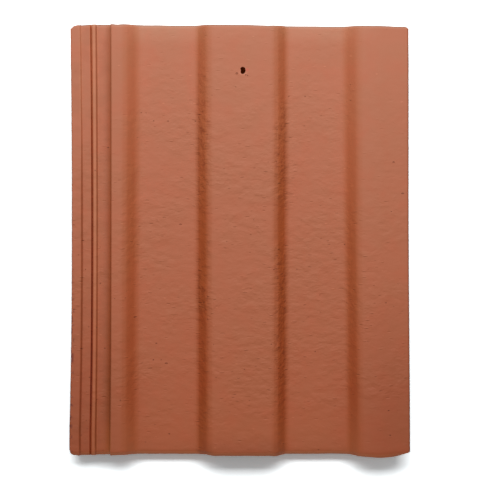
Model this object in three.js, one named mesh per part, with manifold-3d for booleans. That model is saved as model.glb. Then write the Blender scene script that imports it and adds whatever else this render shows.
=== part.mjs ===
// Interlocking roof tile: one moulded slab with two pans between flat-topped ridges, an underlock along
// its left side, an overlock along its right side, and batten nibs and weather ribs underneath.
// Millimetres. In the tile's own frame x runs across from its left edge, y runs along from its nose to
// its head, and z is 0 on the top of the pans. The finished tile is turned to lie on a level floor.
import * as THREE from 'three';
import { ConvexGeometry } from 'three/addons/geometries/ConvexGeometry.js';
import * as BufferGeometryUtils from 'three/addons/utils/BufferGeometryUtils.js';
import Module from 'manifold-3d';

const LENGTH = 420;

// Main profile: widths are between mid-heights of the ridge sides.
const BODY = 12.5; // thickness of the slab
const RIDGE_HEIGHT = 18; // ridge top above pan top
const JOINT_SLOPE_RUN = 12.5; // width of an outer ridge's side, seen from above
const CENTRE_SLOPE_RUN = 10.5;
const PAN_WIDTH = 69.6;
const CENTRE_RIDGE_WIDTH = 76.8;
const JOINT_RIDGE_WIDTH = 84; // over this tile's last ridge and the next tile's first
const FIRST_RIDGE_WIDTH = 19.2; // from the gutter wall
const JOINT_CREST_R = 12;
const CENTRE_CREST_R = 11.5;
const JOINT_FILLET_R = 12; // between a ridge's side and the pan
const CENTRE_FILLET_R = 8;
const HEEL_R = 14; // round under the edge of a pan
const HOLLOW_R = 4; // fillet in the hollow under a ridge

// Laps: room between the overlock and the next tile's underlock
const LAP_CLEARANCE = 0.8; // over its ribs and channels
const SIDE_CLEARANCE = 1; // beside its ribs and edge

// Overlock
const OVERLOCK_THICKNESS = 7.2; // over the underlock's outer rib
const OVERLOCK_DROP = 4.2; // how far its top falls towards its edge
const OVERLOCK_SHOULDER_R = 40;
const OVERLOCK_EDGE_R = 2.6;
const OUTER_LIP_WIDTH = 2.8;
const LIP_R = 0.9;

// Underlock, from the left edge in; depths are below the outer rib
const OUTER_RIB_WIDTH = 9.5;
const OUTER_RIB_R = 1.4;
const RIB_DRAFT = 1.4; // how far a rib's right flank leans
const CHANNEL_WIDTH = 8.6;
const CHANNEL_DEPTH = 4.4;
const CHANNEL_R = 0.9;
const CREASE_WIDTH = 1.9; // narrow crease along the channel's far side
const CREASE_DEPTH = 7;
const CREASE_DRAFT = 0.5;
const INNER_RIB_WIDTH = 3.4;
const INNER_RIB_DEPTH = 1.4;
const INNER_RIB_R = 0.9;
const GUTTER_WIDTH = 13.7;
const GUTTER_DEPTH = 5.4;
const GUTTER_COVE_R = 7.4; // hollow between gutter and wall
const GUTTER_WALL_LEAN = 0.6;
const GUTTER_WALL_R = 1;
const LEDGE_THICKNESS = 6.6; // under the gutter
const LEDGE_INSET = 1; // from the gutter wall, where the ledge's underside ends
const LEDGE_RISE_RUN = 4;
const LEDGE_R = 2.2;

// Ends and corners
const NOSE_ROUND_LENGTH = 8.5;
const NOSE_ROUND_DROP = 2.4;
const HEAD_ROUND_LENGTH = 4.5;
const HEAD_ROUND_DROP = 1.6;
const CORNER_R = 4.5;
const NOSE_CUT_ACROSS = 17; // rounded cut off the nose's right corner
const NOSE_CUT_ALONG = 5;

// Nail hole, through the centre ridge
const NAIL_FROM_LEFT = 168;
const NAIL_FROM_HEAD = 45.5;
const NAIL_HOLE_WIDTH = 5.2;
const NAIL_HOLE_LENGTH = 6.6;

// Batten nibs, one under each pan
const NIB_WIDTH = 46;
const NIB_LENGTH = 17;
const NIB_DEPTH = 13;
const NIB_FROM_HEAD = 10;
const NIB_DRAFT = 2.5; // lean of its ends and of its head side
const NIB_CHAMFER = 1.5;

// Weather ribs, across the underside near the nose
const WEATHER_RIB_COUNT = 2;
const WEATHER_RIB_FROM_NOSE = 14;
const WEATHER_RIB_PITCH = 20;
const WEATHER_RIB_DEPTH = 4;
const WEATHER_RIB_LENGTH = 8;
const WEATHER_RIB_DRAFT = 1.5;
const WEATHER_RIB_START = 5; // from the underlock's edge
const WEATHER_RIB_END = 3; // from the overlock's hollow

// Facets
const ARC_STEP = 0.22; // radians
const END_STEPS = 5; // sections in each rounded end
const CURVE_SEGMENTS = 8;
const WELD = 1e-5;
const ROOT = 2; // how far an added piece is sunk into the slab

// Places across the tile
const channelX = OUTER_RIB_WIDTH + RIB_DRAFT;
const creaseX = channelX + CHANNEL_WIDTH;
const innerRibX = creaseX + CREASE_WIDTH;
const innerRibEndX = innerRibX + INNER_RIB_WIDTH;
const gutterX = innerRibEndX + RIB_DRAFT;
const gutterWallX = gutterX + GUTTER_WIDTH;
const firstPanX = gutterWallX + FIRST_RIDGE_WIDTH;
const centreRidgeX = firstPanX + PAN_WIDTH;
const lastPanX = centreRidgeX + CENTRE_RIDGE_WIDTH;
const lastRidgeX = lastPanX + PAN_WIDTH;
const coverWidth = 2 * PAN_WIDTH + CENTRE_RIDGE_WIDTH + JOINT_RIDGE_WIDTH; // one tile to the next
const overlockX = coverWidth - SIDE_CLEARANCE; // where the overlock's hollow begins
const width = coverWidth + gutterX + SIDE_CLEARANCE + OUTER_LIP_WIDTH;

// Heights
const outerRibZ = RIDGE_HEIGHT - OVERLOCK_THICKNESS - LAP_CLEARANCE;
const innerRibZ = outerRibZ - INNER_RIB_DEPTH;
const channelZ = outerRibZ - CHANNEL_DEPTH;
const creaseZ = outerRibZ - CREASE_DEPTH;
const gutterZ = outerRibZ - GUTTER_DEPTH;
const ledgeZ = gutterZ - LEDGE_THICKNESS;

// Corners [x, z, radius] to points, each corner rounded by an arc that its two edges have room for.
function rounded(corners) {
  const at = (i) => new THREE.Vector2(...corners.at(i % corners.length));
  return corners.flatMap(([, , radius], i) => {
    const corner = at(i);
    if (!radius) return [corner];
    const [back, on] = [at(i - 1).sub(corner), at(i + 1).sub(corner)];
    const room = Math.min(back.length(), on.length()) / 2;
    back.normalize();
    on.normalize();
    const half = Math.acos(THREE.MathUtils.clamp(back.dot(on), -1, 1)) / 2;
    const reach = Math.min(radius / Math.tan(half), room);
    const toCentre = back.clone().add(on).setLength(reach / Math.cos(half));
    const centre = corner.clone().add(toCentre);
    const from = corner.clone().addScaledVector(back, reach);
    const turn = Math.sign(on.cross(back)) * (Math.PI - 2 * half);
    const steps = Math.ceil(Math.abs(turn) / ARC_STEP);
    return Array.from({ length: steps + 1 }, (_, k) => {
      return from.clone().rotateAround(centre, (turn * k) / steps);
    });
  });
}

// Corners of the ridge sides, left to right, on the surface that lies `depth` inside the top.
function ridgeSides(depth) {
  const side = (topMidX, falls, run, crestR, filletR) => {
    const midX = topMidX - falls * depth * Math.tan(Math.atan2(RIDGE_HEIGHT, run) / 2);
    const crest = [midX - (falls * run) / 2, RIDGE_HEIGHT - depth, depth ? HOLLOW_R : crestR];
    const foot = [midX + (falls * run) / 2, -depth, depth ? HEEL_R : filletR];
    return falls > 0 ? [crest, foot] : [foot, crest];
  };
  const joint = (midX, falls) => side(midX, falls, JOINT_SLOPE_RUN, JOINT_CREST_R, JOINT_FILLET_R);
  const centre = (midX, falls) => side(midX, falls, CENTRE_SLOPE_RUN, CENTRE_CREST_R, CENTRE_FILLET_R);
  return [
    ...joint(firstPanX, 1),
    ...centre(centreRidgeX, -1),
    ...centre(lastPanX, 1),
    ...joint(lastRidgeX, -1),
  ];
}

function top() {
  return [
    [0, outerRibZ, OUTER_RIB_R],
    [OUTER_RIB_WIDTH, outerRibZ, OUTER_RIB_R],
    [channelX, channelZ, CHANNEL_R],
    [creaseX, channelZ, 0],
    [creaseX + CREASE_DRAFT, creaseZ, 0],
    [innerRibX - CREASE_DRAFT, creaseZ, 0],
    [innerRibX, innerRibZ, INNER_RIB_R],
    [innerRibEndX, innerRibZ, INNER_RIB_R],
    [gutterX, gutterZ, CHANNEL_R],
    [gutterWallX, gutterZ, GUTTER_COVE_R],
    [gutterWallX + GUTTER_WALL_LEAN, RIDGE_HEIGHT, GUTTER_WALL_R],
    ...ridgeSides(0),
    [coverWidth, RIDGE_HEIGHT, OVERLOCK_SHOULDER_R],
    [width, RIDGE_HEIGHT - OVERLOCK_DROP, OVERLOCK_EDGE_R],
  ];
}

// The overlock's comb-shaped underside, right to left, shaped by the next tile's underlock.
function overlockUnderside() {
  const hollow = (x, z) => [coverWidth + x, z + LAP_CLEARANCE, LIP_R];
  return [
    [width, gutterZ + LAP_CLEARANCE, LIP_R],
    hollow(gutterX + SIDE_CLEARANCE, gutterZ),
    hollow(innerRibEndX + SIDE_CLEARANCE, innerRibZ),
    hollow(innerRibX - SIDE_CLEARANCE, innerRibZ),
    hollow(creaseX - SIDE_CLEARANCE, channelZ),
    hollow(channelX + SIDE_CLEARANCE, channelZ),
    hollow(OUTER_RIB_WIDTH + SIDE_CLEARANCE, outerRibZ),
    hollow(-SIDE_CLEARANCE, outerRibZ),
  ];
}

// The rest of the underside, left to right, `depth` below the slab's own or, if negative, inside it.
function underside(depth, startX, endX) {
  const hollowZ = RIDGE_HEIGHT - BODY - depth;
  return [
    [startX, ledgeZ - depth, LEDGE_R],
    [gutterWallX - LEDGE_INSET, ledgeZ - depth, LEDGE_R],
    [gutterWallX - LEDGE_INSET + LEDGE_RISE_RUN, hollowZ, LEDGE_R],
    ...ridgeSides(BODY + depth),
    [endX, hollowZ, LEDGE_R],
  ];
}

// A rounded outline set across the tile at y.
function section(corners, y) {
  return rounded(corners).map((p) => new THREE.Vector3(p.x, y, p.y));
}

// A closed solid through sections of equal point counts and rising y, each running clockwise as seen
// from the nose.
function loft(sections) {
  const count = sections[0].length;
  const last = (sections.length - 1) * count;
  const index = [];
  for (let s = 0; s < last; s += count) {
    for (let i = 0; i < count; i += 1) {
      const [a, b] = [s + i, s + ((i + 1) % count)];
      index.push(a, b, a + count, b, b + count, a + count);
    }
  }
  const cap = (points) => {
    return THREE.ShapeUtils.triangulateShape(points.map((p) => new THREE.Vector2(p.x, p.z)), []);
  };
  cap(sections[0]).forEach(([a, b, c]) => index.push(a, b, c));
  cap(sections.at(-1)).forEach(([a, b, c]) => index.push(a + last, c + last, b + last));
  const geometry = new THREE.BufferGeometry().setFromPoints(sections.flat());
  geometry.setIndex(index);
  return geometry;
}

// Places in from an end and how far the top has dropped there.
function roundedEnd(length, drop) {
  return Array.from({ length: END_STEPS + 1 }, (_, k) => {
    const t = (k / END_STEPS) ** 2;
    return [length * t, drop * (1 - t) ** 3];
  });
}

function slab() {
  const nose = roundedEnd(NOSE_ROUND_LENGTH, NOSE_ROUND_DROP);
  const head = roundedEnd(HEAD_ROUND_LENGTH, HEAD_ROUND_DROP).reverse();
  const bottom = [...overlockUnderside(), ...underside(0, 0, overlockX).reverse()];
  return loft([...nose, ...head.map(([inside, drop]) => [LENGTH - inside, drop])].map(([y, drop]) => {
    return section([...top().map(([x, z, radius]) => [x, z - drop, radius]), ...bottom], y);
  }));
}

// A shape seen from above, as a prism from one height to another.
function upright(shape, fromZ, toZ) {
  const geometry = new THREE.ExtrudeGeometry(shape, {
    depth: toZ - fromZ,
    bevelEnabled: false,
    curveSegments: CURVE_SEGMENTS,
  });
  return geometry.translate(0, 0, fromZ);
}

// A block of the tile's plan, deeper than the slab, which trims its corners.
function plan() {
  const shape = new THREE.Shape();
  shape.moveTo(CORNER_R, 0);
  shape.lineTo(width - NOSE_CUT_ACROSS, 0);
  shape.quadraticCurveTo(width - NOSE_CUT_ALONG, 0, width, NOSE_CUT_ALONG);
  shape.lineTo(width, LENGTH - CORNER_R);
  shape.absarc(width - CORNER_R, LENGTH - CORNER_R, CORNER_R, 0, Math.PI / 2);
  shape.lineTo(CORNER_R, LENGTH);
  shape.absarc(CORNER_R, LENGTH - CORNER_R, CORNER_R, Math.PI / 2, Math.PI);
  shape.lineTo(0, CORNER_R);
  shape.absarc(CORNER_R, CORNER_R, CORNER_R, Math.PI, 1.5 * Math.PI);
  return upright(shape, -2 * BODY, 2 * RIDGE_HEIGHT);
}

function nailHole() {
  const shape = new THREE.Shape();
  const y = LENGTH - NAIL_FROM_HEAD;
  shape.absellipse(NAIL_FROM_LEFT, y, NAIL_HOLE_WIDTH / 2, NAIL_HOLE_LENGTH / 2, 0, 2 * Math.PI);
  return upright(shape, -BODY, RIDGE_HEIGHT + BODY);
}

// A nib under a pan. Its side towards the nose, which hooks over the batten, stands square.
function nib(panX) {
  const x = panX + PAN_WIDTH / 2;
  const headY = LENGTH - NIB_FROM_HEAD;
  const tipZ = -BODY - NIB_DEPTH;
  const corners = (z, inset, noseInset) => [-1, 1].flatMap((side) => {
    const cornerX = x + side * (NIB_WIDTH / 2 - inset);
    return [headY - inset, headY - NIB_LENGTH + noseInset].map((y) => new THREE.Vector3(cornerX, y, z));
  });
  return new ConvexGeometry([
    ...corners(ROOT - BODY, 0, 0),
    ...corners(tipZ + NIB_CHAMFER, NIB_DRAFT, 0),
    ...corners(tipZ, NIB_DRAFT + NIB_CHAMFER, NIB_CHAMFER),
  ]);
}

// A rib across the underside that follows its hollows, with drafted sides.
function weatherRib(noseY) {
  const ends = [WEATHER_RIB_START, overlockX - WEATHER_RIB_END];
  const corners = (depth) => [...underside(-ROOT, ...ends), ...underside(depth, ...ends).reverse()];
  const headY = noseY + WEATHER_RIB_LENGTH;
  return loft([
    section(corners(0), noseY),
    section(corners(WEATHER_RIB_DEPTH), noseY + WEATHER_RIB_DRAFT),
    section(corners(WEATHER_RIB_DEPTH), headY - WEATHER_RIB_DRAFT),
    section(corners(0), headY),
  ]);
}

const wasm = await Module();
wasm.setup();

function toManifold(source) {
  const bare = source.clone();
  ['normal', 'uv'].forEach((name) => bare.deleteAttribute(name));
  const welded = BufferGeometryUtils.mergeVertices(bare, WELD);
  return new wasm.Manifold(new wasm.Mesh({
    numProp: 3,
    vertProperties: new Float32Array(welded.attributes.position.array),
    triVerts: new Uint32Array(welded.index.array),
  }));
}

function toGeometry(manifold) {
  const mesh = manifold.getMesh();
  const geometry = new THREE.BufferGeometry();
  geometry.setAttribute('position', new THREE.BufferAttribute(mesh.vertProperties, 3));
  geometry.setIndex(new THREE.BufferAttribute(mesh.triVerts, 1));
  return geometry;
}

function tileGeometry() {
  const ribs = Array.from({ length: WEATHER_RIB_COUNT }, (_, k) => {
    return weatherRib(WEATHER_RIB_FROM_NOSE + k * WEATHER_RIB_PITCH);
  });
  const nibs = [firstPanX, lastPanX].map(nib);
  const trimmed = toManifold(slab()).intersect(toManifold(plan()));
  const whole = [...ribs, ...nibs].reduce((solid, piece) => solid.add(toManifold(piece)), trimmed);
  return toGeometry(whole.subtract(toManifold(nailHole())));
}

// Turned to lie on its nibs and its first weather rib, with the middle of its base at the origin.
function layDown(geometry) {
  const nibContactY = LENGTH - NIB_FROM_HEAD - NIB_LENGTH + NIB_CHAMFER;
  const ribContactY = WEATHER_RIB_FROM_NOSE + WEATHER_RIB_DRAFT;
  geometry.rotateX(Math.atan2(NIB_DEPTH - WEATHER_RIB_DEPTH, nibContactY - ribContactY));
  geometry.computeBoundingBox();
  const { min, max } = geometry.boundingBox;
  geometry.translate(-(min.x + max.x) / 2, -(min.y + max.y) / 2, -min.z);
  geometry.computeVertexNormals();
  return geometry;
}

const terracotta = new THREE.MeshStandardMaterial({
  color: 0xac6750,
  roughness: 0.55,
  metalness: 0,
});

const tile = new THREE.Mesh(layDown(tileGeometry()), terracotta);
tile.name = 'tile';

const group = new THREE.Group();
group.name = 'interlocking_roof_tile';
group.add(tile);

export default group;
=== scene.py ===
"""An interlocking roof tile lying on a pale floor, seen from straight above its weathered face."""

import math

import bmesh
import bpy
from mathutils import Matrix, Vector, noise


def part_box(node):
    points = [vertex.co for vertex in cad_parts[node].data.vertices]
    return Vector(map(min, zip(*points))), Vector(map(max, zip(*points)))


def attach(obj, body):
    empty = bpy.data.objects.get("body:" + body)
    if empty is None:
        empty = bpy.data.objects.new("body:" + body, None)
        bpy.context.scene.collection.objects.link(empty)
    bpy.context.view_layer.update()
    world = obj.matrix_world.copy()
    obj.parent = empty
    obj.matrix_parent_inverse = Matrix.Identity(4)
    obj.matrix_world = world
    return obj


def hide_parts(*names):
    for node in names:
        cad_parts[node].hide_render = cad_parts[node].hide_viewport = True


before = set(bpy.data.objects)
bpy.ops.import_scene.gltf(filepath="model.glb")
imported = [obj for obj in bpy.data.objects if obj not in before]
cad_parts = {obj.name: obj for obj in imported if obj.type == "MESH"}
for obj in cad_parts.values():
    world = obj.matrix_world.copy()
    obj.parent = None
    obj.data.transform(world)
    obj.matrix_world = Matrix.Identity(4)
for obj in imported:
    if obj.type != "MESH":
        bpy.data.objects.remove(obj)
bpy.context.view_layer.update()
LOW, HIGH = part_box("tile")

MM = 0.001


def mm(*lengths):
    """Lengths in millimetres, as metres."""
    return tuple(length * MM for length in lengths)


# The camera looks square onto the tile's face, which leans back a little as the tile lies
REST_TILT = math.radians(1.3603)
CAMERA_DISTANCE = 2300 * MM
CAMERA_FOOT = mm(0.4, 67)  # where its axis meets the ridge tops, from the face's middle
FOOT_PIXEL = (240.0, 171.0)
PIXELS_PER_M = 1037.0
IMAGE = 480  # pixels
SENSOR = 36.0

# Light
KEY_PLACE = (0, 1.62, 2.3)
KEY_SIZE = (3.0, 1.62)
KEY_POWER = 98.3  # W, which lights a white floor to 0.75 of full white
SKY_LEVEL = 0.25

# Where the moulded tile's parts lie, as it rests
RIDGE_TOP = 39.1 * MM  # above the floor, halfway along
PAN_TOP = 21.1 * MM
STEP_X = -155.0 * MM  # from the outer rib down to the channel
CREASE_X = -144.6 * MM
RIB_EDGE_X = -140.4 * MM  # the inner rib's right edge
FLANK_X = -139.2 * MM  # and its right flank
WALL_X = -124.5 * MM  # the gutter's wall
MIDDLE_X = 2.1 * MM  # of the middle ridge
MIDDLE_SLOPE = 38.4 * MM  # from there to halfway up its sides
HOLE = mm(3.2, 164.0)


def ramp(value, low, high):
    """0 at low, 1 at high, smooth between."""
    t = min(max((value - low) / (high - low), 0.0), 1.0)
    return t * t * (3 - 2 * t)


# ---------------------------------------------------------------- node helpers
MIX_COLOURS = (6, 7)  # which of a mix node's sockets take and give colours
MIXED_COLOUR = 2


def colour(red, green, blue):
    return (red, green, blue, 1.0)


WHITE = colour(1, 1, 1)


class Nodes:
    """Adds shader nodes to one tree."""

    def __init__(self, tree):
        self.tree = tree
        tree.nodes.clear()

    def add(self, kind, **settings):
        node = self.tree.nodes.new(kind)
        for name, value in settings.items():
            setattr(node, name, value)
        return node

    def feed(self, socket, value):
        """Links an output to a socket, or sets the socket's own value."""
        if isinstance(value, bpy.types.NodeSocket):
            self.tree.links.new(value, socket)
        else:
            socket.default_value = value

    def math(self, operation, a, b=0.0, c=0.0):
        node = self.add("ShaderNodeMath", operation=operation)
        for socket, value in zip(node.inputs, (a, b, c)):
            self.feed(socket, value)
        return node.outputs[0]

    def times(self, *values):
        product = values[0]
        for value in values[1:]:
            product = self.math("MULTIPLY", product, value)
        return product

    def most(self, *values):
        largest = values[0]
        for value in values[1:]:
            largest = self.math("MAXIMUM", largest, value)
        return largest

    def away(self, value, place):
        """How far a value is from a place on its axis."""
        return self.math("ABSOLUTE", self.math("SUBTRACT", value, place))

    def but(self, mask):
        """1 where the mask is 0, and 0 where it is 1."""
        return self.math("SUBTRACT", 1.0, mask)

    def ramp(self, value, low, high, to_low=0.0, to_high=1.0, smooth=True):
        kind = "SMOOTHSTEP" if smooth else "LINEAR"
        node = self.add("ShaderNodeMapRange", interpolation_type=kind)
        self.feed(node.inputs["Value"], value)
        for name, end in zip(("From Min", "From Max", "To Min", "To Max"), (low, high, to_low, to_high)):
            self.feed(node.inputs[name], end)
        return node.outputs[0]

    def axes(self, vector):
        node = self.add("ShaderNodeSeparateXYZ")
        self.feed(node.inputs[0], vector)
        return node.outputs

    def stretch(self, vector, scale, offset=(0, 0, 0)):
        node = self.add("ShaderNodeMapping")
        self.feed(node.inputs["Vector"], vector)
        node.inputs["Scale"].default_value = scale
        node.inputs["Location"].default_value = offset
        return node.outputs[0]

    def distance(self, vector, point):
        node = self.add("ShaderNodeVectorMath", operation="DISTANCE")
        self.feed(node.inputs[0], vector)
        node.inputs[1].default_value = point
        return node.outputs["Value"]

    def noise(self, vector, scale, detail=2.0, roughness=0.5):
        node = self.add("ShaderNodeTexNoise")
        self.feed(node.inputs["Vector"], vector)
        node.inputs["Scale"].default_value = scale
        node.inputs["Detail"].default_value = detail
        node.inputs["Roughness"].default_value = roughness
        return node.outputs["Fac"]

    def clouds(self, vector, scale, limits):
        """Soft patches, where smooth noise passes from one limit to the other."""
        return self.ramp(self.noise(vector, scale), *limits)

    def wander(self, vector, scale, reach):
        """The vector, moved along each axis by something from 0 to reach."""
        waves = self.add("ShaderNodeTexNoise")
        self.feed(waves.inputs["Vector"], vector)
        waves.inputs["Scale"].default_value = scale
        move = self.add("ShaderNodeVectorMath", operation="MULTIPLY_ADD")
        self.feed(move.inputs[0], waves.outputs["Color"])
        move.inputs[1].default_value = reach
        self.feed(move.inputs[2], vector)
        return move.outputs[0]

    def mix(self, factor, a, b, blend="MIX"):
        node = self.add("ShaderNodeMix", data_type="RGBA", blend_type=blend)
        self.feed(node.inputs["Factor"], factor)
        for socket, value in zip(MIX_COLOURS, (a, b)):
            self.feed(node.inputs[socket], value)
        return node.outputs[MIXED_COLOUR]

    def tint(self, factor, tone, by):
        """The tone, multiplied by another where the factor is 1."""
        return self.mix(factor, tone, by, "MULTIPLY")

    def diffuse(self, tone):
        node = self.add("ShaderNodeBsdfDiffuse")
        node.inputs["Color"].default_value = tone
        return node.outputs[0]

    def glow(self, strength):
        node = self.add("ShaderNodeBackground")
        node.inputs["Color"].default_value = WHITE
        node.inputs["Strength"].default_value = strength
        return node.outputs[0]

    def blend(self, factor, a, b):
        """A mix of two shaders."""
        node = self.add("ShaderNodeMixShader")
        for socket, value in zip(node.inputs, (factor, a, b)):
            self.feed(socket, value)
        return node.outputs[0]

    def camera_sees(self, otherwise, seen):
        """A shader for the camera's own rays, and another for all others."""
        rays = self.add("ShaderNodeLightPath")
        return self.blend(rays.outputs["Is Camera Ray"], otherwise, seen)

    def output(self, kind, surface):
        self.feed(self.add(kind).inputs["Surface"], surface)


def new_material(name):
    """A material, and the nodes it is to be made of."""
    material = bpy.data.materials.new(name)
    material.use_nodes = True
    return material, Nodes(material.node_tree)


# ---------------------------------------------------------------- the tile's positions and masks
# Here and below, a mask's two values are where it is 0 and where it is 1. Where it doesn't go from 0 to 1,
# two more say from what to what.
LOOKS_DOWN = (0.05, -0.25)  # the normal's part along an axis, in these five
LOOKS_ASIDE = (0.3, 0.8)
LOOKS_ALONG = (0.1, 0.75)
CUT_SQUARE = (0.8, 0.97)
STEEP = (1.0, 0.5)
SIDE_RIM = mm(162.4, 163.6)
END_RIM = mm(203.5, 207)
END_TINT_SHARE = (0.0, 1.0, 1.0, 0.45)  # less where an end is cut square than at its rounded rims
OFF_FLANK = mm(2.6, 3.4)
OFF_STEP = (*mm(1.5, 3.5), 0.35, 1.0)
CENTRE_SLOPES = mm(85, 65)
LOW_END = mm(-10, -200)

STROKES = ((85, 290, 85), (2, 5, 1))
STROKES_SHARE = (0.54, 0.66)
STROKES_OUTER = mm(10, 4)  # from halfway up a side of the middle ridge
STROKES_INNER = (*mm(2, 5), 0.3, 1.0)
STROKES_HEAD = mm(185, 120)
STROKES_NOSE = (*mm(-195, -110), 0.2, 1.0)


class Tile:
    """Positions and masks that the layers of the tile's finish share."""

    def __init__(self, n):
        moulded = n.add("ShaderNodeAttribute", attribute_type="GEOMETRY", attribute_name="moulded")
        self.place = moulded.outputs["Vector"]
        self.x, self.y, z = n.axes(self.place)
        self.level = n.math("MULTIPLY_ADD", self.y, -math.tan(REST_TILT), z)
        self.side = n.math("ABSOLUTE", self.x)
        self.along = n.ramp(self.y, LOW.y, HIGH.y, smooth=False)
        aside, endward, up = n.axes(n.add("ShaderNodeTexCoord").outputs["Normal"])
        self.underside = n.ramp(up, *LOOKS_DOWN)
        self.edge = n.times(n.ramp(self.side, *SIDE_RIM), n.ramp(n.math("ABSOLUTE", aside), *LOOKS_ASIDE))
        endward = n.math("ABSOLUTE", endward)
        cut = n.ramp(endward, *CUT_SQUARE)
        self.off_cut = n.but(cut)
        self.end = n.times(n.ramp(n.math("ABSOLUTE", self.y), *END_RIM), n.ramp(endward, *LOOKS_ALONG))
        self.end = n.times(self.end, n.ramp(cut, *END_TINT_SHARE))
        off_rim = n.but(n.most(self.edge, self.end, cut))
        off_flank = n.ramp(n.away(self.x, FLANK_X), *OFF_FLANK)
        off_step = n.ramp(n.away(self.x, STEP_X), *OFF_STEP)
        self.steep = n.times(n.ramp(up, *STEEP, smooth=False), off_flank, off_step, off_rim)
        self.centre = n.ramp(self.side, *CENTRE_SLOPES)
        self.low_end = n.ramp(self.y, *LOW_END)
        self.feather = self.strokes(n)

    def strokes(self, n):
        """Short strokes across, beside the middle ridge's sides."""
        off_slope = n.away(n.away(self.x, MIDDLE_X), MIDDLE_SLOPE)
        beside = n.times(n.ramp(off_slope, *STROKES_OUTER), n.ramp(off_slope, *STROKES_INNER))
        lasting = n.times(n.ramp(self.y, *STROKES_HEAD), n.ramp(self.y, *STROKES_NOSE))
        strokes = n.ramp(n.noise(n.stretch(self.place, *STROKES), 1.0), *STROKES_SHARE)
        return n.times(strokes, beside, lasting)


# ---------------------------------------------------------------- marks scattered over the face
# What a scatter's numbers say: a scale along each axis, where under 1 draws its dots out; an offset that
# moves them all; the size of a cell, which has one dot at most; the share of cells that have one; and the
# smallest and the largest radius.
PITS = ((0.45, 1, 1), (0, 0, 0), 15 * MM, 0.055, 0.45 * MM, 0.9 * MM)
SMALL_PITS = ((0.6, 1, 1), (0.4, 0.3, 0.1), 8 * MM, 0.03, 0.3 * MM, 0.6 * MM)
GRUBBY_PITS = ((1, 1, 1), (0.1, 0.7, 0.2), 7 * MM, 0.10, 0.35 * MM, 0.8 * MM)
SPECKS = ((0.4, 1, 1), (0.7, 0.2, 0.5), 9 * MM, 0.10, 0.45 * MM, 0.85 * MM)
NICKS = ((0.3, 1, 1), (0.2, 0.5, 0), 7 * MM, 0.26, 0.35 * MM, 0.9 * MM)
WEALS = ((0.3, 1, 1), (0.9, 0.3, 0), 7 * MM, 0.34, 0.35 * MM, 0.9 * MM)
DOT_OUTLINE = (500, mm(0.9, 0.6, 0))  # how finely and how far it strays from round
DOT_SLOPE = (0.0, 0.7)  # from its edge inwards, as a share of its radius

PITS_TO_HEAD = (*mm(200, 90), 0.2, 1.0)
GRUBBY_SIDE = mm(-105, -115)
GRUBBY_END = mm(30, -60)
CHIPS = (mm(-2.8, 160.8, 1.2), mm(5.8, 159.7, 0.7), mm(7.7, 159.0, 0.6))  # across, along, radius
SPOT_CORE = 0.4  # of its radius


def dots(n, place, scale, offset, cell, share, smallest, largest):
    """Sparse spots a little out of round: 1 in the middle, 0 outside."""
    place = n.stretch(place, scale, offset)
    cells = n.add("ShaderNodeTexVoronoi", feature="F1", voronoi_dimensions="2D")
    n.feed(cells.inputs["Vector"], n.wander(place, *DOT_OUTLINE))
    cells.inputs["Scale"].default_value = 1 / cell
    chance = n.add("ShaderNodeSeparateColor")
    n.feed(chance.inputs[0], cells.outputs["Color"])
    size = n.math("MULTIPLY_ADD", chance.outputs["Red"], (largest - smallest) / cell, smallest / cell)
    inside = n.but(n.math("DIVIDE", cells.outputs["Distance"], size))
    there = n.math("LESS_THAN", chance.outputs["Green"], share)
    return n.times(n.ramp(inside, *DOT_SLOPE), there)


def from_point(n, place, across, along):
    """How far a place is from a point of the face, at any height."""
    return n.distance(n.stretch(place, (1, 1, 0)), (across, along, 0))


def spot(n, place, across, along, radius):
    """1 at a point of the face, 0 beyond the radius."""
    return n.ramp(from_point(n, place, across, along), radius, SPOT_CORE * radius)


def pits(n, tile):
    """Sparse hollows, more of them low on the left, and the chips by the nail hole."""
    sparse = n.most(dots(n, tile.place, *PITS), dots(n, tile.place, *SMALL_PITS))
    sparse = n.times(sparse, n.ramp(tile.y, *PITS_TO_HEAD))
    grubby = n.times(n.ramp(tile.x, *GRUBBY_SIDE), n.ramp(tile.y, *GRUBBY_END))
    many = n.times(dots(n, tile.place, *GRUBBY_PITS), grubby)
    return n.most(sparse, many, *(spot(n, tile.place, *chip) for chip in CHIPS))


# ---------------------------------------------------------------- colours of the finish, and painted light and shade
# From the nose's tone to the head's: a painted sheen and painted light, paler and less red towards the lamp
# beyond the head
HEAD_TONE = colour(0.462, 0.150, 0.077)
NOSE_TONE = colour(0.376, 0.085, 0.026)
BARE = colour(0.330, 0.118, 0.058)
BARE_DARK = colour(0.250, 0.085, 0.042)
# Every other colour is what the tone is multiplied by, in these three at the nose, halfway and at the head
# Painted light and shade on steep sides: the joint ridges' sides lighter, the middle ridge's sides darker
# and redder, both lighter towards the head
JOINT_SIDE_PAINTED_SHADING = (colour(1.16, 1.24, 1.12), colour(1.09, 0.91, 0.60), colour(1.25, 1.20, 1.08))
CENTRE_SIDE_PAINTED_SHADING = (colour(0.98, 0.87, 0.48), colour(0.96, 0.71, 0.29), colour(1.14, 1.02, 0.78))
# Painted shade in the underlock's crease, deep red there, most halfway along
CREASE_PAINTED_SHADE = (colour(1.13, 0.78, 0.066), colour(0.90, 0.485, 0.087), colour(1.10, 0.93, 0.60))
HALF_TO_HEAD = (0.45, 1.0)  # shares of the length
HALF_TO_NOSE = (0.17, 0.03)

FEATHER = colour(0.89, 0.84, 0.78)
BROWNED = colour(0.97, 1.015, 1.01)
BROWN_CLOUDS = (26, (0.40, 0.62))
REDDENED = colour(1.015, 0.98, 0.98)
RED_SHARE = (0.48, 0.66)

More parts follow.
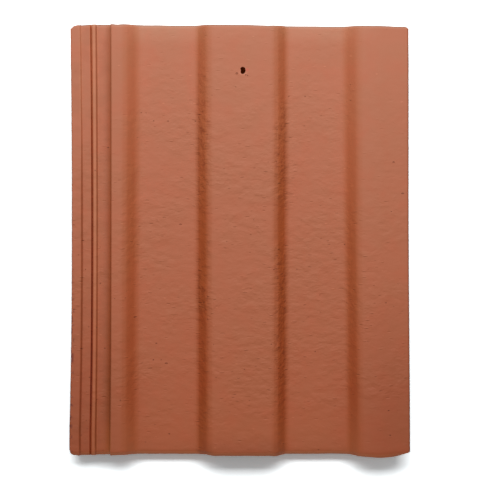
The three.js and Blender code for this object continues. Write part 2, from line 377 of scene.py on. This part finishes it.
# Painted light along the head's end, most in the pans
HEAD_PAINTED_LIGHT = colour(1.06, 1.25, 1.36)
PALE_ALONG = mm(186, 206)
PALE_ACROSS = mm(140, 120)
PALE_LEVEL = (RIDGE_TOP - 4 * MM, PAN_TOP, 0.35, 1.0)
# Painted shade in the nose's corners
NOSE_CORNER_PAINTED_SHADE = colour(0.84, 0.76, 0.68)
CORNER_ACROSS = mm(70, 155)
# Painted shade along the nose's end, most on its ridges
NOSE_PAINTED_SHADE = colour(0.86, 0.84, 0.80)
DULL_ALONG = mm(-185, -203)
DULL_ACROSS = mm(115, 85)
DULL_LEVEL = (PAN_TOP, RIDGE_TOP - 2 * MM, 0.35, 1.0)

CREASE_WIDTH = mm(1.6, 0.85)
# Painted light on the outer step's line towards the head
STEP_PAINTED_LIGHT = colour(1.12, 1.22, 1.28)
STEP_WIDTH = mm(1.8, 1.0)
STEP_ALONG = mm(90, 150)
# Painted light on the inner rib's right edge
RIB_EDGE_PAINTED_LIGHT = colour(1.12, 1.22, 1.20)
RIB_EDGE_LIGHT_WIDTH = mm(2.9, 1.9)
GUTTER = (-139 * MM, WALL_X)
GUTTER_END = WALL_X + 0.8 * MM
# Painted shade in the gutter, deepening towards its wall, over part of its length
GUTTER_PAINTED_SHADE = colour(0.91, 0.94, 0.83)
GUTTER_SHADE_HEAD = mm(20, -130)
GUTTER_SHADE_NOSE = mm(-208, -170)
# The gutter is lighter towards the nose
GUTTER_NOSE = colour(1.17, 1.22, 1.10)
GUTTER_LIGHTER_ALONG = mm(-165, -198)
JOINT_CLOUD = colour(0.945, 0.94, 0.92)
JOINT_CLOUDS = (70, 105, 70)
JOINT_SHARE = (0.42, 0.62)
JOINT_ACROSS = (WALL_X + 2 * MM, WALL_X - 2 * MM)
# Painted shade along the gutter's wall
WALL_PAINTED_SHADE = colour(0.90, 0.90, 0.88)
WALL_LINE = WALL_X - 0.4 * MM
WALL_WIDTH = mm(1.8, 0.8)

# Painted shade on the sides
SIDE_PAINTED_SHADE = colour(0.66, 0.60, 0.60)
# Painted light on the nose's rounded end
NOSE_END_PAINTED_LIGHT = colour(1.36, 1.85, 2.45)
# A paler, less red head end
HEAD_END_TINT = colour(0.72, 1.02, 1.28)
EDGE_BEADS = colour(0.55, 0.40, 0.40)
BEADS = (260, (0.50, 0.60))
BEADS_ACROSS = mm(-161, -163.5)
BEADS_ALONG = mm(0, -100)

# Painted light on the nail hole's rim towards the nose
HOLE_RIM_PAINTED_LIGHT = colour(1.18, 1.32, 1.45)
RIM_REACH = mm(5.2, 4.0)
RIM_ALONG = (HOLE[1] - 0.6 * MM, HOLE[1] - 3 * MM)
HOLE_STAIN = colour(1.14, 0.80, 0.88)
STAIN = mm(7.4, 164.6, 1.9)  # across, along, radius

SPOT = colour(0.55, 0.36, 0.28)
SPECK = colour(1.26, 1.36, 1.46)
STAINED = 0.5
PITTED = 0.45
SPECKLED = 0.7


def between(n, along, tones):
    """The nose, middle or head tone, by how far along the tile."""
    nose, middle, head = tones
    upper = n.mix(n.ramp(along, *HALF_TO_HEAD), middle, head)
    return n.mix(n.ramp(along, *HALF_TO_NOSE), upper, nose)


def fired_tone_and_painted_light(n, tile, patches):
    """The fired colour with a painted sheen and painted light towards the head, painted light and shade on
    steep sides, and strokes and brown and red patches.
    """
    tone = n.mix(tile.along, NOSE_TONE, HEAD_TONE)
    # painted light and shade on the steep sides
    painted_side_shading = n.mix(tile.centre, between(n, tile.along, JOINT_SIDE_PAINTED_SHADING), between(n, tile.along, CENTRE_SIDE_PAINTED_SHADING))
    tone = n.tint(tile.steep, tone, painted_side_shading)
    tone = n.tint(tile.feather, tone, FEATHER)
    tone = n.tint(n.clouds(tile.place, *BROWN_CLOUDS), tone, BROWNED)
    return n.tint(n.ramp(patches, *RED_SHARE), tone, REDDENED)


def end_tone(n, tile, tone):
    """Painted light at the head, most in the pans, and painted shade at the nose, most on its ridges and in
    its corners.
    """
    low = n.ramp(tile.level, *PALE_LEVEL)
    head = n.times(n.ramp(tile.y, *PALE_ALONG), low, n.ramp(tile.side, *PALE_ACROSS))
    tone = n.tint(head, tone, HEAD_PAINTED_LIGHT)
    corner = n.times(n.ramp(tile.side, *CORNER_ACROSS), tile.low_end)
    tone = n.tint(corner, tone, NOSE_CORNER_PAINTED_SHADE)
    high = n.ramp(tile.level, *DULL_LEVEL)
    nose = n.times(n.ramp(tile.y, *DULL_ALONG), n.ramp(tile.side, *DULL_ACROSS), high)
    return n.tint(nose, tone, NOSE_PAINTED_SHADE)


def joint_tone(n, tile, tone):
    """Painted shade in the underlock's crease, in its gutter and along its wall, painted light on its step
    and its rib's edge, the gutter lighter towards the nose, and cloudy patches.
    """
    crease = n.times(n.ramp(n.away(tile.x, CREASE_X), *CREASE_WIDTH), tile.off_cut)
    # painted shade in the crease
    tone = n.tint(crease, tone, between(n, tile.along, CREASE_PAINTED_SHADE))
    step = n.times(n.ramp(n.away(tile.x, STEP_X), *STEP_WIDTH), n.ramp(tile.y, *STEP_ALONG))
    # painted light on the outer step
    tone = n.tint(step, tone, STEP_PAINTED_LIGHT)
    # painted light on the inner rib's edge
    tone = n.tint(n.ramp(n.away(tile.x, RIB_EDGE_X), *RIB_EDGE_LIGHT_WIDTH), tone, RIB_EDGE_PAINTED_LIGHT)
    gutter = n.times(n.ramp(tile.x, *GUTTER), n.math("LESS_THAN", tile.x, GUTTER_END))
    shaded_stretch = n.times(n.ramp(tile.y, *GUTTER_SHADE_HEAD), n.ramp(tile.y, *GUTTER_SHADE_NOSE))
    # painted shade in the gutter
    tone = n.tint(n.times(gutter, shaded_stretch), tone, GUTTER_PAINTED_SHADE)
    tone = n.tint(n.times(gutter, n.ramp(tile.y, *GUTTER_LIGHTER_ALONG)), tone, GUTTER_NOSE)
    cloudy = n.ramp(n.noise(n.stretch(tile.place, JOINT_CLOUDS), 1.0, detail=3), *JOINT_SHARE)
    tone = n.tint(n.times(cloudy, n.ramp(tile.x, *JOINT_ACROSS)), tone, JOINT_CLOUD)
    # painted shade along the gutter's wall
    return n.tint(n.ramp(n.away(tile.x, WALL_LINE), *WALL_WIDTH), tone, WALL_PAINTED_SHADE)


def rim_tone(n, tile, tone):
    """Painted shade on the sides, painted light on the nose's rounded end, a paler, less red head end, and
    dark beads low on the left edge.
    """
    # painted shade on the sides
    tone = n.tint(tile.edge, tone, SIDE_PAINTED_SHADE)
    # painted light on the nose's end, and the head end's tint
    tone = n.tint(tile.end, tone, n.mix(tile.along, NOSE_END_PAINTED_LIGHT, HEAD_END_TINT))
    left = n.ramp(tile.x, *BEADS_ACROSS)
    beads = n.times(n.clouds(tile.place, *BEADS), left, n.ramp(tile.y, *BEADS_ALONG))
    return n.tint(beads, tone, EDGE_BEADS)


def hole_tone(n, tile, tone):
    """Round the nail hole: painted light on its rim towards the nose, and a small stain beside it."""
    rim = n.times(n.ramp(from_point(n, tile.place, *HOLE), *RIM_REACH), n.ramp(tile.y, *RIM_ALONG))
    tone = n.tint(rim, tone, HOLE_RIM_PAINTED_LIGHT)
    return n.tint(spot(n, tile.place, *STAIN), tone, HOLE_STAIN)


def spotted_tone(n, tone, stains, hollow, speck):
    """Darker in hollows and pits, and pale specks."""
    tone = n.tint(n.times(stains, STAINED), tone, SPOT)
    tone = n.tint(n.times(hollow, PITTED), tone, SPOT)
    return n.tint(n.times(speck, SPECKLED), tone, SPECK)


# ---------------------------------------------------------------- relief of the finish
SKIN_WARP = (38, (0, 5 * MM, 0))
SKIN_BANDS = (24, (0.40, 0.60, 0.45, 1.0))
SKIN_ACROSS = mm(125, 95)
SKIN_OUTER = (*mm(150, -100), 0.4, 0.9)  # how deep the outer ridges' skin is marked, head to nose
CALM_HEAD = (*mm(200, 60), 0.35, 1.0)
CALM_NOSE = (*mm(-205, -140), 0.5, 1.0)
SLOPES_DEEPER = 0.9  # by so much more on the middle ridge's sides
RIPPLES = (108, 156, 108)
RIPPLES_ROUGHNESS = 0.45
RIPPLES_HEIGHT = 1.0 * MM
DENTS = ((120, 240, 120), (3, 1, 2))
DENT_UP = (0.38, 0.30)
DENT_DOWN = (0.62, 0.70)
DENT_HEIGHT = 0.10 * MM
WEAL_HEIGHT = 0.36 * MM
NICK_DEPTH = 0.38 * MM

BLOBS = (150, 185, 150)
BLOB_ROUGHNESS = 0.6
BLOB_HEIGHT = 1.0 * MM
BLOB_HOLLOWS = (0.46, 0.34)
RAGGED = (18, (0.42, 0.58))
RAGGED_HEAD = mm(190, 110)
RAGGED_NOSE = (*mm(-170, -100), 0.3, 1.0)

FEATHER_DEPTH = 0.16 * MM
GRAIN = 900
GRAIN_HEIGHT = 0.01 * MM
PIT_DEPTH = 0.8 * MM
SPECK_HEIGHT = 0.1 * MM
BARE_GRAIN = 350
BARE_DETAIL = 4
BARE_ROUGHNESS = 0.65
BARE_HEIGHT = 0.5 * MM


def wet_skin(n, tile):
    """Ripples, dents, nicks and weals, shallower towards the ends and on the outer ridges."""
    warped = n.wander(tile.place, *SKIN_WARP)
    ripples = n.noise(n.stretch(warped, RIPPLES), 1.0, roughness=RIPPLES_ROUGHNESS)
    dents = n.noise(n.stretch(warped, *DENTS), 1.0, detail=1)
    dent = n.math("SUBTRACT", n.ramp(dents, *DENT_UP), n.ramp(dents, *DENT_DOWN))
    weals = n.times(dots(n, warped, *WEALS), WEAL_HEIGHT)
    marks = n.math("SUBTRACT", weals, n.times(dots(n, warped, *NICKS), NICK_DEPTH))
    height = n.math("MULTIPLY_ADD", ripples, RIPPLES_HEIGHT, n.times(dent, DENT_HEIGHT))
    height = n.math("ADD", height, marks)
    inner = n.ramp(tile.side, *SKIN_ACROSS, n.ramp(tile.y, *SKIN_OUTER), 1.0)
    calm = n.times(n.ramp(tile.y, *CALM_HEAD), n.ramp(tile.y, *CALM_NOSE))
    deeper = n.math("MULTIPLY_ADD", n.times(tile.steep, tile.centre), SLOPES_DEEPER, 1.0)
    return n.times(height, n.clouds(tile.place, *SKIN_BANDS), inner, calm, deeper)


def ragged_sides(n, tile):
    """Blobs on stretches of the middle ridge's sides, and the stains between them."""
    blobs = n.noise(n.stretch(tile.place, BLOBS), 1.0, roughness=BLOB_ROUGHNESS)
    ragged = n.times(tile.steep, tile.centre, n.clouds(tile.place, *RAGGED))
    ragged = n.times(ragged, n.ramp(tile.y, *RAGGED_HEAD), n.ramp(tile.y, *RAGGED_NOSE))
    return n.times(blobs, ragged, BLOB_HEIGHT), n.times(n.ramp(blobs, *BLOB_HOLLOWS), ragged)


def face_relief(n, tile, blobs, hollow, speck):
    """The height of all fine relief, in metres."""
    height = n.math("ADD", wet_skin(n, tile), blobs)
    height = n.math("MULTIPLY_ADD", tile.feather, -FEATHER_DEPTH, height)
    height = n.math("MULTIPLY_ADD", n.noise(tile.place, GRAIN), GRAIN_HEIGHT, height)
    height = n.math("MULTIPLY_ADD", hollow, -PIT_DEPTH, height)
    height = n.math("MULTIPLY_ADD", speck, SPECK_HEIGHT, height)
    bare = n.noise(tile.place, BARE_GRAIN, BARE_DETAIL, BARE_ROUGHNESS)
    return n.math("ADD", height, n.times(bare, tile.underside, BARE_HEIGHT))


# ---------------------------------------------------------------- the tile's material
PATCHES = 75
BARE_SHARE = (0.35, 0.7)
ROUGHNESS = 0.60
PATCH_ROUGHNESS = 0.16  # more than that in patches
BARE_DULLNESS = 0.2  # and on the underside


def tile_material():
    material, n = new_material("tile_body")
    tile = Tile(n)
    patches = n.noise(tile.place, PATCHES, detail=3)
    hollow = pits(n, tile)
    speck = dots(n, tile.place, *SPECKS)
    blobs, stains = ragged_sides(n, tile)

    tone = fired_tone_and_painted_light(n, tile, patches)
    for layer in (end_tone, joint_tone, rim_tone, hole_tone):
        tone = layer(n, tile, tone)
    tone = spotted_tone(n, tone, stains, hollow, speck)
    tone = n.mix(tile.underside, tone, n.mix(n.ramp(patches, *BARE_SHARE), BARE, BARE_DARK))
    roughness = n.math("MULTIPLY_ADD", patches, PATCH_ROUGHNESS, ROUGHNESS)
    roughness = n.math("MULTIPLY_ADD", tile.underside, BARE_DULLNESS, roughness)

    bump = n.add("ShaderNodeBump")
    bump.inputs["Distance"].default_value = 1.0  # heights are in metres
    n.feed(bump.inputs["Height"], face_relief(n, tile, blobs, hollow, speck))
    shader = n.add("ShaderNodeBsdfPrincipled")
    n.feed(shader.inputs["Base Color"], tone)
    n.feed(shader.inputs["Roughness"], roughness)
    n.feed(shader.inputs["Normal"], bump.outputs[0])
    n.output("ShaderNodeOutputMaterial", shader.outputs[0])
    return material


# ---------------------------------------------------------------- the tile's surface
GRID = mm(3.2, 1.9)  # across, along
MERGE = 0.01 * MM
FLAT = math.radians(0.4)  # faces that turn less than this against each other are one
MOST_CORNERS = 4  # a face with more is cut into triangles
CREASE_ANGLE = math.radians(38)
END_FACING = 0.94  # a face that looks further along is part of a cut end
UNDER_FACING = -0.3  # a face that looks further down is part of the plain underside
WET_FACING = (0.0, 0.5)  # from here to here, a face that looks up has more of the wet skin

# Smooth noise: the length of its waves, and its seed
SEED_SKEW = 1.7
COARSE = (9 * MM, 3.1)
FINE = (3.5 * MM, 7.7)
COARSE_SHARE = 0.65  # of the roughness of edges
FINE_SHARE = 0.35
WINDING = (30 * MM, 5.5)
SAGGING = (45 * MM, 1.3)
WAVING = (25 * MM, 2.2)
RIPPLING = (5.0 * MM, 9.4)
BREAKING = (0.6, 4.4)  # round a unit circle

# How moulded lines stray. A zone is where a move is nothing and where it is whole.
BOW = 2.4 * MM  # how far the underlock's edge bends in, about halfway along
BOW_MIDDLE = 20 * MM
BOW_TO_HEAD = (230 * MM, 1.8)  # reach and power of its curve
BOW_TO_NOSE = (-205 * MM, 2.3)
BOW_ZONE = (LOW.x + 62 * MM, LOW.x)
# Where a line lies, and how far it strays to the right at the nose and at the head
OUTER_STEP = (STEP_X, 0.1 * MM, -0.3 * MM)
GUTTER_WALL = mm(-125.0, -0.4, 0.2)
FOURTH_FOOT = mm(100.5, 1.1, 0.3)
FIRST_SLOPE = mm(-106.0, 0.1, 1.5)
SECOND_SLOPE = mm(-36.0, 1.3, 0.3)
THIRD_SLOPE = mm(40.5, -0.7, -0.3)
FOURTH_SLOPE = mm(110.0, 0.6, -0.8)
STEP_REACH = 8 * MM
SLOPE_REACH = 20 * MM
FOURTH_PINCH = 0.14  # it is this much steeper towards the nose
PINCH_ZONE = mm(60, -20)
SLOPE_WANDER = 0.5 * MM
WANDER_ZONE = mm(125, 110)
WANDER_ACROSS = 0.2  # how fast a line's wandering changes across, against along
RIGHT_TAPER = 1.45 * MM  # the right side draws in towards the head
TAPER_ALONG = mm(-220, 40)
TAPER_ACROSS = mm(40, 110)
END_ZONE = 9 * MM
ROUGH_END = 0.7 * MM
ROUGH_HEAD = 0.7  # how much of that at the head
ROUGH_SIDE = 0.35 * MM
ROUGH_RIGHT = 0.5  # how much of that on the right

# How the ends were cut. Zones are shares of the width, and places come with their reach.
HEAD_SHORT = 0.05 * MM
HEAD_SKEW = 2.3 * MM  # the head's end is cut this far out of square
HEAD_DIP = 0.6 * MM  # and dips a little in two places
HEAD_DIPS = (mm(26, 18), mm(-119, 6))
HEAD_DROOP = 0.5 * MM  # and at both sides
LEFT_DROOP = (0.065, 0.03)
LEFT_SHARE = 0.6  # how much of it on the left
RIGHT_DROOP = (0.91, 0.96)
NOSE_SHORT = 1.9 * MM  # the nose's end stops short, but at the right
NOSE_ZONE = (0.93, 0.81)
NOSE_CORNER = 2.2 * MM
CORNER_ZONE = (0.918, 0.988)
NOSE_DIP = 0.8 * MM  # and more so at the first ridge
DIP_PLACE = 0.15
DIP_REACH = 0.045
NOSE_LONG = 0.5 * MM  # less so at the underlock and beside the middle ridge
LONG_ZONE = (0.12, 0.04)
LONG_PLACE = mm(35, 8)
NOSE_NOTCH = 0.9 * MM
NOTCH_PLACE = mm(-34, 8)

# The wet face
SAG = 0.15 * MM
RIPPLE = 0.22 * MM
RIPPLE_STRETCH = 1.7  # across
RIPPLE_WAVE = 2 * MM
RIPPLE_ALONG = mm(200, 90)
RIPPLE_ACROSS = mm(125, 95)
RIB_WORN = 3.1 * MM  # the outer rib sinks towards the head
RIB_ALONG = mm(20, 160)
RIB_ACROSS = mm(-153.6, -156.4)
RIB_LEVEL = mm(26.7, 31.1)

# A corner, and how far its rounding reaches across and along
HEAD_LEFT = ((LOW.x, HIGH.y), mm(19, 4.9))
NOSE_LEFT = ((LOW.x, LOW.y), mm(7.5, 6))
HEAD_RIGHT = ((HIGH.x, HIGH.y), mm(5.5, 3.6))
CORNER_KEPT = 0.8
CORNER_END = 1.12

# The nail hole's broken outline
HOLE_ZONE = mm(8, 3.5)
HOLE_ROUGH = 0.8 * MM
HOLE_INWARD = 0.3  # how much of that is inwards
HOLE_NOTCH = 1.0 * MM  # a tongue of its left side juts in
NOTCH_FACING = (0.75, 1.0)


def bumpy(point, scale, seed):
    """Smooth noise from 0 to 1."""
    return 0.5 + 0.5 * noise.noise(point / scale + Vector((seed, seed * SEED_SKEW, -seed)))


def hump(value, place, reach):
    """1 at the place, 0 beyond its reach."""
    return ramp(abs(value - place), reach, 0.0)


def shift_across(point, rough):
    """How far a point lies to the right of where the die would have left it."""
    half, power = BOW_TO_HEAD if point.y > BOW_MIDDLE else BOW_TO_NOSE
    bow = BOW * max(0.0, 1 - ((point.y - BOW_MIDDLE) / half) ** power)
    shift = bow * ramp(point.x, *BOW_ZONE)
    up = (point.y - LOW.y) / (HIGH.y - LOW.y)
    for place, at_nose, at_head in (OUTER_STEP, GUTTER_WALL, FOURTH_FOOT):
        shift += (at_nose + (at_head - at_nose) * up) * hump(point.x, place, STEP_REACH)
    for place, at_nose, at_head in (FIRST_SLOPE, SECOND_SLOPE, THIRD_SLOPE, FOURTH_SLOPE):
        shift += (at_nose + (at_head - at_nose) * up) * hump(point.x, place, SLOPE_REACH)
    pinch = FOURTH_PINCH * ramp(point.y, *PINCH_ZONE)
    shift -= pinch * (point.x - FOURTH_SLOPE[0]) * hump(point.x, FOURTH_SLOPE[0], SLOPE_REACH)
    winding = bumpy(Vector((point.x * WANDER_ACROSS, point.y, 0)), *WINDING) - 0.5
    shift += SLOPE_WANDER * winding * ramp(abs(point.x), *WANDER_ZONE)
    shift -= RIGHT_TAPER * ramp(point.y, *TAPER_ALONG) * ramp(point.x, *TAPER_ACROSS)
    shift += ROUGH_SIDE * rough * ramp(point.x, LOW.x + END_ZONE, LOW.x)
    return shift - ROUGH_RIGHT * ROUGH_SIDE * rough * ramp(point.x, HIGH.x - END_ZONE, HIGH.x)


def head_short(x, across, rough):
    """How far the head's end stops short."""
    short = HEAD_SHORT + HEAD_SKEW * across + ROUGH_HEAD * ROUGH_END * rough
    short += HEAD_DROOP * (LEFT_SHARE * ramp(across, *LEFT_DROOP) + ramp(across, *RIGHT_DROOP))
    return short + HEAD_DIP * sum(hump(x, *dip) for dip in HEAD_DIPS)


def nose_short(x, across, rough):
    """How far the nose's end stops short."""
    short = NOSE_SHORT * ramp(across, *NOSE_ZONE) + NOSE_CORNER * ramp(across, *CORNER_ZONE)
    short += NOSE_DIP * max(0.0, 1 - ((across - DIP_PLACE) / DIP_REACH) ** 2) + ROUGH_END * rough
    short -= NOSE_LONG * (ramp(across, *LONG_ZONE) + hump(x, *LONG_PLACE))
    return short + NOSE_NOTCH * hump(x, *NOTCH_PLACE)


def shift_along(point, rough):
    """How far a point near a cut end lies towards the head from where the die would have left it."""
    across = (point.x - LOW.x) / (HIGH.x - LOW.x)
    nose = nose_short(point.x, across, rough) * ramp(point.y, LOW.y + END_ZONE, LOW.y)
    return nose - head_short(point.x, across, rough) * ramp(point.y, HIGH.y - END_ZONE, HIGH.y)


def sink(point, upward):
    """How far the wet face has sunk or rippled below the die's line."""
    level = point.z - math.tan(REST_TILT) * point.y
    worn = RIB_WORN * ramp(point.y, *RIB_ALONG) * ramp(point.x, *RIB_ACROSS)
    worn *= ramp(level, *RIB_LEVEL)
    along = Vector((point.x / RIPPLE_STRETCH, point.y + RIPPLE_WAVE * bumpy(point, *WAVING), 0))
    ripple = RIPPLE * bumpy(along, *RIPPLING) * ramp(point.y, *RIPPLE_ALONG)
    ripple *= ramp(abs(point.x), *RIPPLE_ACROSS)
    return worn + upward * (SAG * bumpy(point, *SAGGING) + ripple)


def ragged_hole(point):
    """The move that takes the nail hole's wall to its broken outline."""
    out = Vector((point.x - HOLE[0], point.y - HOLE[1], 0))
    away = out.length
    if away > HOLE_ZONE[0]:
        return Vector()
    way = out.normalized()
    move = HOLE_ROUGH * (bumpy(way, *BREAKING) - HOLE_INWARD) - HOLE_NOTCH * ramp(-way.x, *NOTCH_FACING)
    return way * move * ramp(away, *HOLE_ZONE)


def rounded_corner(point, corner, reach):
    """The move that pulls a point near a corner in to a quarter of an ellipse of that reach."""
    across = 1 - abs(corner[0] - point.x) / reach[0]
    along = 1 - abs(corner[1] - point.y) / reach[1]
    out = math.hypot(across, along)
    if min(across, along) <= 0 or out <= CORNER_KEPT:
        return Vector()
    to = CORNER_KEPT + (1 - CORNER_KEPT) * min(1.0, (out - CORNER_KEPT) / (CORNER_END - CORNER_KEPT))
    inward = 1 - to / out
    side = Vector((math.copysign(reach[0], -corner[0]), math.copysign(reach[1], -corner[1]), 0))
    return Vector((side.x * across, side.y * along, 0)) * inward


def weathered(point, upward):
    """Where a point of the moulded shape ends up on a tile cut and handled wet."""
    rough = COARSE_SHARE * bumpy(point, *COARSE) + FINE_SHARE * bumpy(point, *FINE)
    moved = point + Vector((shift_across(point, rough), shift_along(point, rough), -sink(point, upward)))
    for corner, reach in (HEAD_LEFT, NOSE_LEFT, HEAD_RIGHT):
        moved += rounded_corner(point, corner, reach)
    return moved + ragged_hole(point)


def cut_faces(bm, faces, axis):
    """Cuts faces by evenly spaced planes along one axis."""
    low, high = LOW[axis], HIGH[axis]
    count = round((high - low) / GRID[axis])
    facing = Vector()
    facing[axis] = 1
    cut = list(dict.fromkeys(part for face in faces for part in (face, *face.edges, *face.verts)))
    for k in range(1, count):
        place = Vector()
        place[axis] = low + (high - low) * k / count
        cut = bmesh.ops.bisect_plane(bm, geom=cut, plane_co=place, plane_no=facing)["geom"]


def is_crease(edge):
    """Whether the surface turns sharply at an edge, or a cut end starts there."""
    one, other = (face.normal for face in edge.link_faces)
    at_end = (abs(one.y) > END_FACING) != (abs(other.y) > END_FACING)
    return at_end or one.dot(other) < math.cos(CREASE_ANGLE)


def cut_fine(bm):
    """Cuts the surface to the grid, on the plain underside only along its length."""
    bmesh.ops.remove_doubles(bm, verts=bm.verts[:], dist=MERGE)
    bmesh.ops.dissolve_limit(bm, angle_limit=FLAT, verts=bm.verts[:], edges=bm.edges[:])
    cut_faces(bm, bm.faces, axis=1)
    bm.normal_update()
    cut_faces(bm, [face for face in bm.faces if face.normal.z > UNDER_FACING], axis=0)
    bmesh.ops.remove_doubles(bm, verts=bm.verts[:], dist=MERGE)
    bmesh.ops.triangulate(bm, faces=[face for face in bm.faces if len(face.verts) > MOST_CORNERS])
    bm.normal_update()


def tile_surface():
    """The moulded solid's own surface, cut fine and weathered; it remembers where each point was."""
    bm = bmesh.new()
    bm.from_mesh(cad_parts["tile"].data)
    cut_fine(bm)
    moulded = bm.verts.layers.float_vector.new("moulded")
    for vert in bm.verts:
        vert[moulded] = vert.co
        vert.co = weathered(vert.co, ramp(vert.normal.z, *WET_FACING))
    bm.normal_update()
    for edge in bm.edges:
        edge.smooth = not is_crease(edge)
    for face in bm.faces:
        face.smooth = True
    mesh = bpy.data.meshes.new("tile_surface")
    bm.to_mesh(mesh)
    bm.free()
    return mesh


def make_tile():
    tile = bpy.data.objects.new("tile_surface", tile_surface())
    bpy.context.scene.collection.objects.link(tile)
    tile.data.materials.append(tile_material())
    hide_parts("tile")
    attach(tile, "root")


# ---------------------------------------------------------------- floor, light and camera
FLOOR_COLOUR = colour(0.8, 0.8, 0.8)  # as it lights the tile
FLOOR_SEEN = colour(0.80, 0.90, 0.93)  # added to a white floor where the camera sees it
FLOOR_SIZE = 8
HOLE_SHADE_ON_FLOOR = colour(0.40, 0.11, 0.01)  # painted dark-brown shade on the floor, seen through the nail hole
UNDER_HOLE = mm(3.1, 166.5, 0)
UNDER_REACH = mm(5, 3.5)


def floor_material():
    """Pale, and to the camera white where no shadow falls, with painted dark-brown shade under the nail
    hole.
    """
    material, n = new_material("floor")
    bright = n.add("ShaderNodeAddShader")
    for socket, tone in zip(bright.inputs, (WHITE, FLOOR_SEEN)):
        n.feed(socket, n.diffuse(tone))
    place = n.add("ShaderNodeTexCoord").outputs["Object"]
    hole_shade = n.ramp(n.distance(place, UNDER_HOLE), *UNDER_REACH)
    seen = n.blend(hole_shade, bright.outputs[0], n.diffuse(HOLE_SHADE_ON_FLOOR))
    n.output("ShaderNodeOutputMaterial", n.camera_sees(n.diffuse(FLOOR_COLOUR), seen))
    return material


def make_floor():
    bpy.ops.mesh.primitive_plane_add(size=FLOOR_SIZE)
    floor = bpy.context.object
    floor.name = "floor"
    floor.data.materials.append(floor_material())


def make_sky():
    """An even sky that lights the tile softly, and that the camera sees as white."""
    world = bpy.data.worlds.new("sky")
    world.use_nodes = True
    n = Nodes(world.node_tree)
    n.output("ShaderNodeOutputWorld", n.camera_sees(n.glow(SKY_LEVEL), n.glow(1.0)))
    bpy.context.scene.world = world


def make_key():
    """A broad lamp beyond the head, shining straight down."""
    key = bpy.data.lights.new("key", "AREA")
    key.shape = "RECTANGLE"
    key.size, key.size_y = KEY_SIZE
    key.energy = KEY_POWER
    lamp = bpy.data.objects.new("key", key)
    lamp.location = KEY_PLACE
    lamp.visible_camera = False
    bpy.context.scene.collection.objects.link(lamp)


def make_camera():
    turn = Matrix.Rotation(REST_TILT, 4, "X")
    data = bpy.data.cameras.new("camera")
    data.sensor_width = SENSOR
    data.lens = SENSOR * PIXELS_PER_M * CAMERA_DISTANCE / IMAGE
    data.shift_x = (IMAGE / 2 - FOOT_PIXEL[0]) / IMAGE
    data.shift_y = (FOOT_PIXEL[1] - IMAGE / 2) / IMAGE
    camera = bpy.data.objects.new("camera", data)
    place = Vector((0, 0, RIDGE_TOP)) + turn @ Vector((*CAMERA_FOOT, CAMERA_DISTANCE))
    camera.matrix_world = Matrix.Translation(place) @ turn
    bpy.context.scene.collection.objects.link(camera)
    bpy.context.scene.camera = camera


make_camera()
make_sky()
make_key()
make_floor()
make_tile()
bpy.context.scene.view_settings.view_transform = "Standard"
